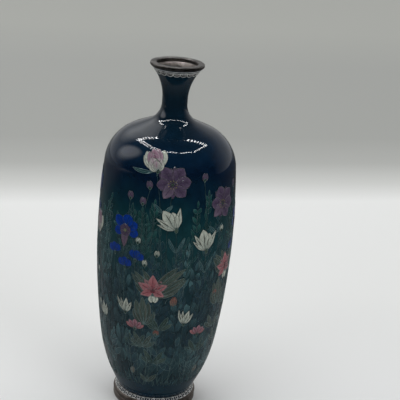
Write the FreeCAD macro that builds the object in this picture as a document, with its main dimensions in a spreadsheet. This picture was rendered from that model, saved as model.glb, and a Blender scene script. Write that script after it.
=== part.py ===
"""A cloisonne vase: a hand-raised copper body under fired enamel, with silver wire cells and silver rims.

The document keeps its driving sizes in a spreadsheet. The vase is built as nested solids of revolution,
one for each surface from the polished enamel inwards, and every coat or sheet is the difference of two.
The pictures are cells: each petal or leaf is a lens-shaped wire fence, filled with coloured enamel,
that stands in the layer of dark ground enamel. +Z is up, the origin is the middle of the foot's
resting face, and the picture side faces -Y.
"""
import FreeCAD, Part
import math
import os

import Sketcher
from FreeCAD import Placement, Rotation, Vector

DOC = FreeCAD.newDocument("cloisonne_vase")
SHEET = "Sizes"

# Millimetres and degrees. The aliases are what the expressions below read.
SIZES = {
    # outline of the polished enamel, from the foot to the mouth
    "enamel_bottom": 6.0,
    "enamel_top": 150.9,
    "belly_radius": 29.0,
    "belly_height": 81.0,
    "belly_curve": 332.0,
    "lower_curve": 75.0,
    "lower_joint": 32.5,
    "shoulder_curve": 17.9,
    "shoulder_joint": 110.0,
    "shoulder_slope": 23.0,
    "root_curve": 8.4,
    "neck_radius": 5.3,
    "flare_start": 137.3,
    "flare_curve": 19.6,
    # coats and sheets, from the outside inwards
    "fill_thickness": 0.5,
    "coat_thickness": 0.2,
    "copper_thickness": 0.9,
    "counter_thickness": 0.3,
    "seam_height": 106.0,
    "counter_top": 127.0,
    # base and foot
    "foot_bore": 14.2,
    "foot_radius": 18.2,
    "foot_ledge": 15.7,
    "plate_gap": 0.1,
    "foot_edge": 0.5,
    "flange_height": 2.4,
    "bead_radius": 0.95,
    "border_slope_height": 1.25,
    "border_radius": 17.55,
    "border_thickness": 0.35,
    "border_wire": 0.25,
    # lip
    "lip_radius": 11.2,
    "lip_bore": 8.55,
    "lip_height": 1.6,
    "lip_round": 0.55,
    # cells
    "wire_thickness": 0.2,
    "cell_reach": 2.0,
    "scroll_count": 48,
    "scroll_radius": 0.66,
    "lappet_count": 20,
    "lappet_radius": 1.1,
    "lappet_height": 148.35,
    "neck_wire": 0.3,
    "neck_wire_low": 149.5,
    "neck_wire_high": 150.25,
}


def make_sheet():
    """The spreadsheet of driving sizes, one alias a row."""
    sheet = DOC.addObject("Spreadsheet::Sheet", SHEET)
    for row, (alias, value) in enumerate(SIZES.items(), start=1):
        sheet.set(f"A{row}", alias)
        sheet.set(f"B{row}", str(value))
        sheet.setAlias(f"B{row}", alias)
    DOC.recompute()
    return sheet


sheet = make_sheet()


def size(alias):
    """A driving size as a plain number."""
    return float(sheet.get(alias))


def bound(alias):
    """The name that an expression uses for a driving size."""
    return f"{SHEET}.{alias}"


# ---------------------------------------------------------------- outline

class Outline:
    """The vase's outline at one depth under the polished surface: arcs and lines tangent to each other.

    A tangent angle is measured from +radius towards +height, going up the outline.
    """

    def __init__(self, depth, bottom, top):
        self.belly = size("belly_curve") - depth
        self.lower = size("lower_curve") - depth
        self.shoulder = size("shoulder_curve") - depth
        self.root = size("root_curve") + depth
        self.flare = size("flare_curve") + depth
        neck = size("neck_radius") - depth
        slope = math.radians(180 - size("shoulder_slope"))
        belly_centre = Vector(size("belly_radius") - size("belly_curve"), size("belly_height"), 0)
        low = math.acos((belly_centre.y - size("lower_joint")) / self.belly)
        high = math.acos((belly_centre.y - size("shoulder_joint")) / self.belly)
        lower_centre = self.along(belly_centre, low, self.belly - self.lower)
        shoulder_centre = self.along(belly_centre, high, self.belly - self.shoulder)
        start = math.acos((lower_centre.y - bottom) / self.lower)
        cone_low = self.along(shoulder_centre, slope, self.shoulder)
        root_radius = neck + self.root
        cone_high_r = root_radius - self.root * math.sin(slope)
        cone_drop = math.tan(math.radians(size("shoulder_slope")))
        cone_high_h = cone_low.y - (cone_high_r - cone_low.x) * cone_drop
        root_centre = Vector(root_radius, cone_high_h - self.root * math.cos(slope), 0)
        flare_centre = Vector(neck + self.flare, size("flare_start"), 0)
        end = math.acos((top - flare_centre.y) / self.flare)
        upright = math.pi / 2
        # kind, centre, radius, tangent angles going up; a concave arc turns the other way
        self.parts = [
            ("convex", lower_centre, self.lower, start, low),
            ("convex", belly_centre, self.belly, low, high),
            ("convex", shoulder_centre, self.shoulder, high, slope),
            ("line", cone_low, Vector(cone_high_r, cone_high_h, 0), slope, slope),
            ("concave", root_centre, self.root, slope, upright),
            ("line", Vector(neck, root_centre.y, 0), Vector(neck, flare_centre.y, 0), upright, upright),
            ("concave", flare_centre, self.flare, upright, end),
        ]

    @staticmethod
    def along(centre, tangent, reach):
        """The point that lies reach outwards from a centre, where the outline has that tangent angle."""
        return centre + Vector(math.sin(tangent), -math.cos(tangent), 0) * reach

    def ends(self, part):
        """The lower and upper points of one stretch."""
        kind, centre, reach, low, high = part
        if kind == "line":
            return centre, reach
        side = 1 if kind == "convex" else -1
        return self.along(centre, low, side * reach), self.along(centre, high, side * reach)

    def at(self, height):
        """The radius and the tangent angle at a height."""
        for part in self.parts:
            kind, centre, reach, low, high = part
            bottom, top = self.ends(part)
            if not bottom.y - 1e-9 <= height <= top.y + 1e-9:
                continue
            if kind == "line":
                share = (height - bottom.y) / (top.y - bottom.y)
                return bottom.x + share * (top.x - bottom.x), low
            side = 1 if kind == "convex" else -1
            tangent = math.acos(side * (centre.y - height) / reach)
            return centre.x + side * reach * math.sin(tangent), tangent
        raise ValueError(f"the outline has no height {height}")


def revolve(label, draw):
    """A body made by turning one closed sketch about the Z axis. draw(sketch) fills the sketch."""
    body = DOC.addObject("PartDesign::Body", label)
    body.Label = label
    sketch = body.newObject("Sketcher::SketchObject", label + "_outline")
    plane = [f for f in body.Origin.OriginFeatures if f.Role == "XZ_Plane"][0]
    sketch.AttachmentSupport = [(plane, "")]
    sketch.MapMode = "FlatFace"
    draw(sketch)
    turned = body.newObject("PartDesign::Revolution", label + "_turned")
    turned.Profile = sketch
    turned.ReferenceAxis = (sketch, ["V_Axis"])
    turned.Angle = 360
    body.Tip = turned
    sketch.Visibility = False
    return body


def measure(sketch, kind, *where, to):
    """Adds one dimension to a sketch and binds it to an expression, starting from its drawn value."""
    index = sketch.addConstraint(Sketcher.Constraint(kind, *where, to[0]))
    sketch.setExpression(f"Constraints[{index}]", to[1])


def draw_vase(depth, bottom, top):
    """Draws the whole outline at a depth under the polished surface, closed along the axis.

    depth is a list of the coats above that surface; bottom and top are expressions of its end heights.
    """
    deep = sum(size(alias) for alias in depth)
    deep_text = " + ".join([bound(alias) for alias in depth]) or "0"
    outline = Outline(deep, bottom[0], top[0])

    def draw(sketch):
        for part in outline.parts:
            kind, centre, reach, low, high = part
            if kind == "line":
                sketch.addGeometry(Part.LineSegment(centre, reach))
            elif kind == "convex":
                circle = Part.Circle(centre, Vector(0, 0, 1), reach)
                sketch.addGeometry(Part.ArcOfCircle(circle, low - math.pi / 2, high - math.pi / 2))
            else:
                circle = Part.Circle(centre, Vector(0, 0, 1), reach)
                sketch.addGeometry(Part.ArcOfCircle(circle, high + math.pi / 2, low + math.pi / 2))
        first = outline.ends(outline.parts[0])[0]
        last = outline.ends(outline.parts[-1])[1]
        sketch.addGeometry(Part.LineSegment(last, Vector(0, last.y, 0)))
        sketch.addGeometry(Part.LineSegment(Vector(0, last.y, 0), Vector(0, first.y, 0)))
        sketch.addGeometry(Part.LineSegment(Vector(0, first.y, 0), first))
        lower, belly, shoulder, cone, root, neck, flare, lid, axis, floor = range(10)
        start, end, middle = 1, 2, 3
        joins = [
            ("Tangent", lower, end, belly, start),
            ("Tangent", belly, end, shoulder, start),
            ("Tangent", shoulder, end, cone, start),
            ("Tangent", cone, end, root, end),
            ("Tangent", root, start, neck, start),
            ("Tangent", neck, end, flare, end),
            ("Coincident", flare, start, lid, start),
            ("Coincident", lid, end, axis, start),
            ("Coincident", axis, end, floor, start),
            ("Coincident", floor, end, lower, start),
            ("Vertical", neck),
            ("Horizontal", lid),
            ("Horizontal", floor),
            ("PointOnObject", lid, end, -2),
            ("PointOnObject", axis, end, -2),
        ]
        sketch.addConstraint([Sketcher.Constraint(*join) for join in joins])
        origin = (-1, 1)
        curve = bound("belly_curve")
        shoulder_text = f"{bound('shoulder_curve')} - ({deep_text})"
        measure(sketch, "Radius", lower, to=(outline.lower, f"{bound('lower_curve')} - ({deep_text})"))
        measure(sketch, "Radius", belly, to=(outline.belly, f"{curve} - ({deep_text})"))
        measure(sketch, "Radius", shoulder, to=(outline.shoulder, shoulder_text))
        measure(sketch, "Radius", root, to=(outline.root, f"{bound('root_curve')} + ({deep_text})"))
        measure(sketch, "Radius", flare, to=(outline.flare, f"{bound('flare_curve')} + ({deep_text})"))
        measure(sketch, "DistanceX", belly, middle, *origin,
                to=(size("belly_curve") - size("belly_radius"), f"{curve} - {bound('belly_radius')}"))
        for stretch, point, alias in [
            (belly, middle, "belly_height"),
            (belly, start, "lower_joint"),
            (belly, end, "shoulder_joint"),
            (neck, end, "flare_start"),
        ]:
            measure(sketch, "DistanceY", *origin, stretch, point, to=(size(alias), bound(alias)))
        measure(sketch, "DistanceY", *origin, lower, start, to=bottom)
        measure(sketch, "DistanceY", *origin, flare, start, to=top)
        measure(sketch, "DistanceX", *origin, neck, start,
                to=(size("neck_radius") - deep, f"{bound('neck_radius')} - ({deep_text})"))
        steep = f"180 deg - {bound('shoulder_slope')} * 1 deg"
        measure(sketch, "Angle", cone, to=(math.radians(180 - size("shoulder_slope")), steep))

    return draw


def level(label, depth, bottom=None):
    """The vase as a solid, up to the surface that lies under the named coats."""
    low = bottom or (size("enamel_bottom"), bound("enamel_bottom"))
    high = (size("enamel_top"), bound("enamel_top"))
    return revolve(label, draw_vase(depth, low, high))


def cut(label, base, tool):
    """base without tool."""
    made = DOC.addObject("Part::Cut", label)
    made.Label = label
    made.Base = base
    made.Tool = tool
    return made


def common(label, base, tool):
    """What base and tool share."""
    made = DOC.addObject("Part::Common", label)
    made.Label = label
    made.Base = base
    made.Tool = tool
    return made


def drum(label, low, high):
    """A wide cylinder between two heights, given as expressions, to keep one slice of a shell."""
    made = DOC.addObject("Part::Cylinder", label)
    made.setExpression("Radius", f"2 * {bound('belly_radius')}")
    made.setExpression("Height", f"({high}) - ({low})")
    made.setExpression("Placement.Base.z", low)
    return made


def group(label, members):
    """Several objects as one, for a boolean operation."""
    made = DOC.addObject("Part::Compound", label)
    made.Links = members
    return made


# ---------------------------------------------------------------- coats and sheets

SKIN = []
FILL = ["fill_thickness"]
COAT = FILL + ["coat_thickness"]
COPPER = COAT + ["copper_thickness"]
COUNTER = COPPER + ["counter_thickness"]

polished = level("polished_surface", SKIN)
under_fill = level("under_fill", FILL)
under_coat = level("under_coat", COAT)
inside_copper = level("inside_copper", COPPER)
counter_floor = (
    size("enamel_bottom") + size("counter_thickness"),
    f"{bound('enamel_bottom')} + {bound('counter_thickness')}",
)
inside_counter = level("inside_counter", COUNTER, counter_floor)

fill_layer = cut("fill_layer", polished, under_fill)
base_coat_enamel = cut("base_coat_enamel", under_fill, under_coat)
copper_shell = cut("copper_shell", under_coat, inside_copper)
lining = cut("lining", inside_copper, inside_counter)

bottom_of, top_of = bound("enamel_bottom"), bound("enamel_top")
below_seam = drum("below_seam", bottom_of, bound("seam_height"))
above_seam = drum("above_seam", bound("seam_height"), top_of)
below_counter_top = drum("below_counter_top", bottom_of, bound("counter_top"))

copper_body = common("copper_body", copper_shell, below_seam)
copper_shoulder = common("copper_shoulder", copper_shell, above_seam)
counter_enamel = common("counter_enamel", lining, below_counter_top)


def base_disc(label, radius, top, thickness):
    """A flat disc under the body; radius, top and thickness are expressions."""
    made = DOC.addObject("Part::Cylinder", label)
    made.Label = label
    made.setExpression("Radius", radius)
    made.setExpression("Height", thickness)
    made.setExpression("Placement.Base.z", f"({top}) - ({thickness})")
    return made


copper_base_plate = base_disc(
    "copper_base_plate", f"{bound('foot_ledge')} - {bound('plate_gap')}",
    bottom_of, bound("copper_thickness"))
base_enamel = base_disc(
    "base_enamel", f"{bound('foot_bore')} - {bound('plate_gap')} / 2",
    f"{bottom_of} - {bound('copper_thickness')}", bound("counter_thickness"))


# ---------------------------------------------------------------- rims

def draw_ring(points, dims, arcs=()):
    """Draws a closed section from corner points, with some sides as arcs.

    dims maps a corner's index to its radius and height expressions; arcs maps a side to its bulge radius.
    """
    arcs = dict(arcs)

    def draw(sketch):
        count = len(points)
        for side in range(count):
            here, there = points[side], points[(side + 1) % count]
            if side in arcs:
                middle = (here + there) * 0.5
                chord = there - here
                away = Vector(chord.y, -chord.x, 0).normalize()
                half = chord.Length / 2
                radius = arcs[side][0]
                rise = radius - math.sqrt(radius * radius - half * half)
                crown = middle + away * rise
                sketch.addGeometry(Part.Arc(here, crown, there))
            else:
                sketch.addGeometry(Part.LineSegment(here, there))
        for side in range(count):
            following = (side + 1) % count
            sketch.addConstraint(Sketcher.Constraint("Coincident", side, 2, following, 1))
        for corner, (radius, height) in dims.items():
            measure(sketch, "DistanceX", -1, 1, corner, 1, to=(points[corner].x, radius))
            measure(sketch, "DistanceY", -1, 1, corner, 1, to=(points[corner].y, height))
        for side, (radius, text) in arcs.items():
            measure(sketch, "Radius", side, to=(radius, text))

    return draw


def corner(radius, height):
    """A corner of a section, from two sums of driving sizes: each is a list of (sign, alias or number)."""
    def total(terms):
        return sum(sign * (size(term) if isinstance(term, str) else term) for sign, term in terms)

    def text(terms):
        words = [f"{sign} * {bound(term) if isinstance(term, str) else term}" for sign, term in terms]
        return " + ".join(words)

    return Vector(total(radius), total(height), 0), (text(radius), text(height))


def ring(label, corners, arcs=()):
    """A turned ring whose section has these corners, anticlockwise."""
    points = [point for point, _ in corners]
    dims = {index: words for index, (_, words) in enumerate(corners)}
    return revolve(label, draw_ring(points, dims, arcs))


ROOT2 = math.sqrt(2)
seat_in = [(ROOT2, "border_thickness")]


def minus(terms):
    return [(-sign, term) for sign, term in terms]


border_top = [(1, "border_radius"), (-1, "border_slope_height")]
border_low = [(1, "enamel_bottom"), (-1, "border_slope_height")]
bead = size("bead_radius")

foot_rim = ring("foot_rim", [
    corner([(1, "foot_bore")], [(1, 0.0)]),
    corner([(1, "foot_radius"), (-1, "foot_edge")], [(1, 0.0)]),
    corner([(1, "foot_radius")], [(1, "foot_edge")]),
    corner([(1, "foot_radius")], [(1, "flange_height"), (-1, "foot_edge")]),
    corner([(1, "foot_radius"), (-1, "foot_edge")], [(1, "flange_height")]),
    corner([(1, "border_radius"), (-0.2, "bead_radius")], [(1, "flange_height")]),
    corner([(1, "border_radius")], border_low),
    corner([(1, "border_radius")] + minus(seat_in), border_low),
    corner(border_top + minus(seat_in), [(1, "enamel_bottom")]),
    corner([(1, "foot_ledge")], [(1, "enamel_bottom")]),
    corner([(1, "foot_ledge")], [(1, "enamel_bottom"), (-1, "copper_thickness")]),
    corner([(1, "foot_bore")], [(1, "enamel_bottom"), (-1, "copper_thickness")]),
], arcs={1: (0.75, "1.5 * " + bound("foot_edge")),
         3: (0.75, "1.5 * " + bound("foot_edge")),
         5: (1.3 * bead, "1.3 * " + bound("bead_radius"))})

border_layer = ring("border_layer", [
    corner([(1, "border_radius")] + minus(seat_in), border_low),
    corner([(1, "border_radius")], border_low),
    corner(border_top, [(1, "enamel_bottom")]),
    corner(border_top + minus(seat_in), [(1, "enamel_bottom")]),
])

lip_top = [(1, "enamel_top"), (1, "lip_height")]
lip_rim = ring("lip_rim", [
    corner([(1, "lip_bore")], [(1, "enamel_top")]),
    corner([(1, "lip_radius"), (-1, "lip_round")], [(1, "enamel_top")]),
    corner([(1, "lip_radius")], [(1, "enamel_top"), (1, "lip_round")]),
    corner([(1, "lip_radius")], lip_top + [(-1, "lip_round")]),
    corner([(1, "lip_radius"), (-1, "lip_round")], lip_top),
    corner([(1, "lip_bore"), (1, "lip_round")], lip_top),
    corner([(1, "lip_bore")], lip_top + [(-1, "lip_round")]),
], arcs={1: (0.75 * size("lip_round") * ROOT2, f"0.75 * {ROOT2} * " + bound("lip_round")),
         3: (0.75 * size("lip_round") * ROOT2, f"0.75 * {ROOT2} * " + bound("lip_round")),
         5: (0.75 * size("lip_round") * ROOT2, f"0.75 * {ROOT2} * " + bound("lip_round"))})


# ---------------------------------------------------------------- cells

SURFACE = Outline(0.0, size("enamel_bottom"), size("enamel_top"))


def stand(azimuth, height, spin=0.0, surface=SURFACE):
    """The place on the polished surface: local Z outwards, local Y up the vase, turned right by spin."""
    radius, tangent = surface.at(height)
    around = math.radians(azimuth)
    out = Vector(math.sin(around), -math.cos(around), 0)
    side = Vector(math.cos(around), math.sin(around), 0)
    point = out * radius + Vector(0, 0, height)
    normal = out * math.sin(tangent) - Vector(0, 0, math.cos(tangent))
    up = normal.cross(side)
    place = Placement(point, Rotation(side, up, normal, "ZXY"))
    return place.multiply(Placement(Vector(), Rotation(Vector(0, 0, 1), -spin)))


def lens_face(length, width, inset):
    """A leaf-shaped face from the local origin up local Y, with both arcs moved in by inset."""
    half, rise = length / 2, width / 2
    radius = (half * half + rise * rise) / (2 * rise)
    reach = radius - inset
    shift = radius - rise
    tip = math.sqrt(reach * reach - shift * shift)
    low, high = Vector(0, half - tip, 0), Vector(0, half + tip, 0)
    right = Vector(reach - shift, half, 0)
    left = Vector(shift - reach, half, 0)
    return Part.Face(Part.Wire([Part.Arc(low, right, high).toShape(), Part.Arc(high, left, low).toShape()]))


def disc_face(radius, inset):
    """A round face about the local origin, moved in by inset."""
    return Part.Face(Part.Wire([Part.Circle(Vector(), Vector(0, 0, 1), radius - inset).toShape()]))


def prism(face, place):
    """A cell's cutter: the face carried through the fill layer along the local normal."""
    reach = size("cell_reach")
    face.translate(Vector(0, 0, -reach))
    solid = face.extrude(Vector(0, 0, 2 * reach))
    solid.Placement = place
    return solid


PETAL_GAP = 0.15


class Cells:
    """The cells of one kind of plant: each is a wire fence with its fill."""

    def __init__(self):
        self.outer = []
        self.inner = []

    def add(self, make_face, place):
        self.outer.append(prism(make_face(0.0), place))
        self.inner.append(prism(make_face(size("wire_thickness")), place))

    def lens(self, azimuth, height, spin, start, length, width):
        """A petal or leaf that starts a little way from a point and runs off at the angle spin."""
        place = stand(azimuth, height, spin).multiply(Placement(Vector(0, start, 0), Rotation()))
        self.add(lambda inset: lens_face(length, width, inset), place)

    def disc(self, azimuth, height, radius):
        self.add(lambda inset: disc_face(radius, inset), stand(azimuth, height))


heart = Cells()


def flower(cells, azimuth, height, petals, length, width, core, spread=360.0, spin=0.0):
    """Petals round a heart of radius core: in a circle, or in a fan of that spread about the angle spin."""
    whole = spread >= 360
    step = spread / petals if whole else spread / (petals - 1)
    first = spin if whole else spin - spread / 2
    for number in range(petals):
        cells.lens(azimuth, height, first + step * number, core + PETAL_GAP, length, width)
    heart.disc(azimuth, height, core)


# Each flower stands at (azimuth, height), the azimuth from the front towards the right.
# length is a petal's, and spin is the way that the first petal, or the middle of a fan, points.
CORAL_LILIES = [(-6.7, 62.5, 12), (64, 70, -10), (148, 58, 20), (-108, 66, 0)]
CLEMATIS = [(2, 108.5, 8), (50, 99, 20), (128, 105, 0), (-142, 97, 15)]
BELLFLOWERS = [(-34.5, 88, 0), (84, 88, 18), (168, 88, 10), (-88, 101, 30)]
WHITE_LILIES = [
    (8, 90, -14), (-31.5, 50.5, -8), (-57, 44, -25), (36, 82, 10), (105, 76, -20), (186, 106, 15),
    (-130, 78, 0),
]
ROSE_LILIES = [
    (-13, 116, 0), (-21, 42.5, 10), (34, 46, -10), (120, 44, 0), (205, 70, 12), (-160, 112, 0),
    (-74, 82, 12),
]
BUDS = [
    (-14.5, 106, -20), (-31.5, 100, -6), (-20, 98.5, 6), (-21.8, 82, 4), (-43, 77, -12), (-23, 76, 14),
    (-32.7, 72, -4), (10, 56.5, 30), (-2.6, 41.5, 16), (-5.3, 77.5, 0), (30, 110, 10), (72, 104, -12),
    (98, 98, 8), (148, 91, -10), (-118, 96, 6), (-70, 62, 0), (53, 87, -6), (-172, 92, 4),
]

coral_lily = Cells()
for azimuth, height, spin in CORAL_LILIES:
    flower(coral_lily, azimuth, height, petals=6, length=5.6, width=2.7, core=0.9, spin=spin)

clematis = Cells()
for azimuth, height, spin in CLEMATIS:
    flower(clematis, azimuth, height, petals=6, length=5.8, width=3.2, core=1.1, spin=spin)

bellflower = Cells()
for azimuth, height, spin in BELLFLOWERS:
    flower(bellflower, azimuth, height, petals=5, length=4.8, width=3.2, core=1.0, spin=spin)

white_lily = Cells()
for azimuth, height, spin in WHITE_LILIES:
    flower(white_lily, azimuth, height, petals=4, length=6.0, width=1.9, core=1.1, spread=96, spin=spin)

rose_lily = Cells()
for azimuth, height, spin in ROSE_LILIES:
    flower(rose_lily, azimuth, height, petals=5, length=5.0, width=1.8, core=1.2, spread=128, spin=spin)

bud = Cells()
for azimuth, height, spin in BUDS:
    bud.lens(azimuth, height, spin, start=0.0, length=3.2, width=1.7)

# Broad leaves fan out near the ground, and three more lie round each coral lily as (spin, length).
LEAF_FANS = [(-8.5, 22), (62, 22), (150, 22), (-106, 22)]
LILY_LEAVES = [(-72, 4.5), (28, 7.5), (70, 7.0)]
leaf = Cells()
for azimuth, height in LEAF_FANS:
    for lean in (-54, -27, 0, 27, 54):
        leaf.lens(azimuth, height, lean, start=3.0, length=9.5, width=2.6)
for azimuth, height, _ in CORAL_LILIES:
    for lean, length in LILY_LEAVES:
        leaf.lens(azimuth, height, lean, start=7.3, length=length, width=1.9)

GRASS_BLADES = 36
grass = Cells()
for number in range(GRASS_BLADES):
    lean = 8 if number % 2 else -8
    grass.lens(number * 360 / GRASS_BLADES, 13.5, lean, start=0.0, length=9.0, width=1.0)

lappet = Cells()
lappets = int(size("lappet_count"))
for number in range(lappets):
    lappet.disc(number * 360 / lappets, size("lappet_height"), size("lappet_radius"))


def cutters(label, solids):
    """The cell cutters as one shape; they lie on a curved surface, so no primitive has their shape."""
    made = DOC.addObject("Part::Feature", label)
    made.Shape = Part.makeCompound(solids)
    return made


PLANTS = {
    "coral_lily": coral_lily, "clematis": clematis, "bellflower": bellflower,
    "white_lily": white_lily, "rose_lily": rose_lily, "flower_heart": heart,
    "bud": bud, "leaf": leaf, "grass": grass, "neck_lappet": lappet,
}
fences = []
picture_nodes = []
for name, cells in PLANTS.items():
    outer = cutters(name + "_fence", cells.outer)
    inner = cutters(name + "_field", cells.inner)
    fences.append(outer)
    walled = common(name + "_cells", fill_layer, outer)
    picture_nodes.append(common(name + "_enamel", fill_layer, inner))
    picture_nodes.append(cut(name + "_wires", walled, inner))

# Two ring wires edge the neck border, through the fill layer.
wire_slices = group("neck_wire_slices", [
    drum(f"{start}_slice", bound(start), f"{bound(start)} + {bound('neck_wire')}")
    for start in ("neck_wire_low", "neck_wire_high")
])
neck_ring_wires = common("neck_ring_wires", fill_layer, wire_slices)
fences.append(wire_slices)
ground_enamel = cut("ground_enamel", fill_layer, group("all_fences", fences))


# ---------------------------------------------------------------- foot border

def border_cells():
    """Ring-shaped scroll wires stand through the sloping border layer round the foot."""
    outer, inner = [], []
    count = int(size("scroll_count"))
    middle_height = size("enamel_bottom") - size("border_slope_height") / 2
    middle_radius = size("border_radius") - size("border_slope_height") / 2
    for number in range(count):
        around = 2 * math.pi * number / count
        out = Vector(math.sin(around), -math.cos(around), 0)
        side = Vector(math.cos(around), math.sin(around), 0)
        normal = (out + Vector(0, 0, 1)).normalize()
        place = Placement(out * middle_radius + Vector(0, 0, middle_height),
                          Rotation(side, normal.cross(side), normal, "ZXY"))
        outer.append(prism(disc_face(size("scroll_radius"), 0.0), place))
        inner.append(prism(disc_face(size("scroll_radius"), 0.8 * size("wire_thickness")), place))
    return cutters("scroll_fence", outer), cutters("scroll_field", inner)


scroll_outer, scroll_inner = border_cells()
edge_slices = group("edge_slices", [
    drum("edge_slice_low", f"{bottom_of} - {bound('border_slope_height')}",
         f"{bottom_of} - {bound('border_slope_height')} + {bound('border_wire')} / 2"),
    drum("edge_slice_high", f"{bottom_of} - {bound('border_wire')} / 2", bottom_of),
])
foot_ring_wires = common("foot_ring_wires", border_layer, edge_slices)
scroll_walled = common("scroll_walled", border_layer, scroll_outer)
foot_scroll_wires = cut("foot_scroll_wires", scroll_walled, group("scroll_gaps", [edge_slices, scroll_inner]))
foot_border_enamel = cut("foot_border_enamel", border_layer,
                         group("border_taken", [edge_slices, foot_scroll_wires]))

NODES = [
    copper_body, copper_shoulder, copper_base_plate, base_coat_enamel, ground_enamel, counter_enamel,
    base_enamel, foot_rim, lip_rim, neck_ring_wires, foot_ring_wires, foot_scroll_wires, foot_border_enamel,
] + picture_nodes


def write_parts():
    """Checks every object and writes one STEP file for each sub-part."""
    DOC.recompute()
    failed = [made.Name for made in DOC.Objects if {"Invalid", "Error"} & set(made.State)]
    if failed:
        raise RuntimeError(f"these objects failed: {failed}")
    os.makedirs("parts", exist_ok=True)
    for node in NODES:
        shape = node.Shape
        if shape.isNull() or not shape.isValid() or not shape.Solids:
            raise RuntimeError(f"{node.Label} has no valid solid")
        shape.exportStep(f"parts/{node.Label}.step")
        print(f"{node.Label}: {len(shape.Solids)} solids, {shape.Volume:.2f} mm3")


write_parts()
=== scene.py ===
"""Looks of a cloisonne vase: enamel ground, a garden in wire cells, aged silver rims, a plain studio."""
import bisect
from math import acos, atan2, cos, degrees, dist, hypot, pi, radians, sin, sqrt, tan
from random import choice, random, randrange, seed, uniform

import bpy
from mathutils import Matrix, Vector

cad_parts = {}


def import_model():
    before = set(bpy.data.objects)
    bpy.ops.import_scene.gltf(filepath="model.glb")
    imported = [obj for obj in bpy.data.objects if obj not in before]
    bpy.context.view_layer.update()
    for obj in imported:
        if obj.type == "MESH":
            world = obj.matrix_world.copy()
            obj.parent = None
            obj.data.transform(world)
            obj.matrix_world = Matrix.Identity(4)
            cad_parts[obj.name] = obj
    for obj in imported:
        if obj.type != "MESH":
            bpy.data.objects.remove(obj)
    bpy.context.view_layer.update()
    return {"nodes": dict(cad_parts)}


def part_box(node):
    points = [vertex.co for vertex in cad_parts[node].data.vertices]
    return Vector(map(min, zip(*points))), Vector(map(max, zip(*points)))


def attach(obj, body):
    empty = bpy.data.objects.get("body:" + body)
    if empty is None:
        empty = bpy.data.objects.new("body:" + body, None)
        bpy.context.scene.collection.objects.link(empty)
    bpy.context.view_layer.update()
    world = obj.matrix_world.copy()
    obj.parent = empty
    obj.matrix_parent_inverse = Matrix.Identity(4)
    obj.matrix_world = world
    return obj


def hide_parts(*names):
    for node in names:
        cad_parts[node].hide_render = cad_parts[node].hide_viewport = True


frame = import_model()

MM = 0.001
seed(7)


def blend(one, other, share):
    """The tuple of numbers that lies a share of the way from one to the other."""
    return tuple(a + (b - a) * share for a, b in zip(one, other))


# ------------ the vase's outline

class Outline:
    """The polished surface, in millimetres: radius, height and tilt by arc length up from the foot.

    The sizes are the driving sizes of the CAD model. A tangent angle runs from +radius towards +height.
    """

    STEP = 0.25
    belly = (29.0, 81.0, 332.0)
    lower_curve, lower_joint = 75.0, 32.5
    shoulder_curve, shoulder_joint = 17.9, 110.0
    slope = radians(180 - 23)
    root_curve, neck_radius = 8.4, 5.3
    flare_start, flare_curve = 137.3, 19.6

    def __init__(self, bottom, top):
        radius, height, curve = self.belly
        centre = (radius - curve, height)
        low = acos((height - self.lower_joint) / curve)
        high = acos((height - self.shoulder_joint) / curve)
        lower = self.step(centre, low, curve - self.lower_curve)
        shoulder = self.step(centre, high, curve - self.shoulder_curve)
        start = acos((lower[1] - bottom) / self.lower_curve)
        cone_low = self.step(shoulder, self.slope, self.shoulder_curve)
        root_r = self.neck_radius + self.root_curve
        cone_high_r = root_r - self.root_curve * sin(self.slope)
        run = cone_high_r - cone_low[0]
        cone_high = (cone_high_r, cone_low[1] + run * tan(self.slope))
        root = (root_r, cone_high[1] - self.root_curve * cos(self.slope))
        flare = (self.neck_radius + self.flare_curve, self.flare_start)
        end = acos((top - flare[1]) / self.flare_curve)
        self.points = []
        self.arc(lower, self.lower_curve, start, low)
        self.arc(centre, curve, low, high)
        self.arc(shoulder, self.shoulder_curve, high, self.slope)
        self.line(cone_low, cone_high, self.slope)
        self.arc(root, -self.root_curve, self.slope, pi / 2)
        self.line((self.neck_radius, root[1]), (self.neck_radius, flare[1]), pi / 2)
        self.arc(flare, -self.flare_curve, pi / 2, end)
        self.along = [0.0]
        for here, there in zip(self.points, self.points[1:]):
            self.along.append(self.along[-1] + dist(here[:2], there[:2]))
        self.heights = [point[1] for point in self.points]

    @staticmethod
    def step(centre, tangent, reach):
        return centre[0] + sin(tangent) * reach, centre[1] - cos(tangent) * reach

    def arc(self, centre, reach, low, high):
        count = max(2, round(abs(reach * (high - low)) / self.STEP))
        for number in range(1 if self.points else 0, count + 1):
            tangent = low + (high - low) * number / count
            self.points.append((*self.step(centre, tangent, reach), tangent))

    def line(self, low, high, tangent):
        count = max(2, round(dist(low, high) / self.STEP))
        for number in range(1, count + 1):
            self.points.append((*blend(low, high, number / count), tangent))

    def at(self, length):
        """(radius, height, tangent) at an arc length."""
        length = min(max(length, 0.0), self.along[-1])
        index = min(max(bisect.bisect_right(self.along, length), 1), len(self.along) - 1)
        share = (length - self.along[index - 1]) / (self.along[index] - self.along[index - 1])
        return blend(self.points[index - 1], self.points[index], share)

    def length_at(self, height):
        """The arc length at a height."""
        index = min(max(bisect.bisect_right(self.heights, height), 1), len(self.heights) - 1)
        low, high = self.heights[index - 1], self.heights[index]
        share = (height - low) / (high - low)
        return self.along[index - 1] + share * (self.along[index] - self.along[index - 1])


ground_low, ground_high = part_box("ground_enamel")
OUTLINE = Outline(ground_low[2] / MM, ground_high[2] / MM)


def on_vase(azimuth, length, lift):
    """The point and the normal over the outline at an arc length; azimuth is in radians from the front."""
    radius, height, tangent = OUTLINE.at(length)
    out = Vector((sin(azimuth), -cos(azimuth), 0))
    normal = out * sin(tangent) - Vector((0, 0, cos(tangent)))
    return (out * radius + Vector((0, 0, height)) + normal * lift) * MM, normal


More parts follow.
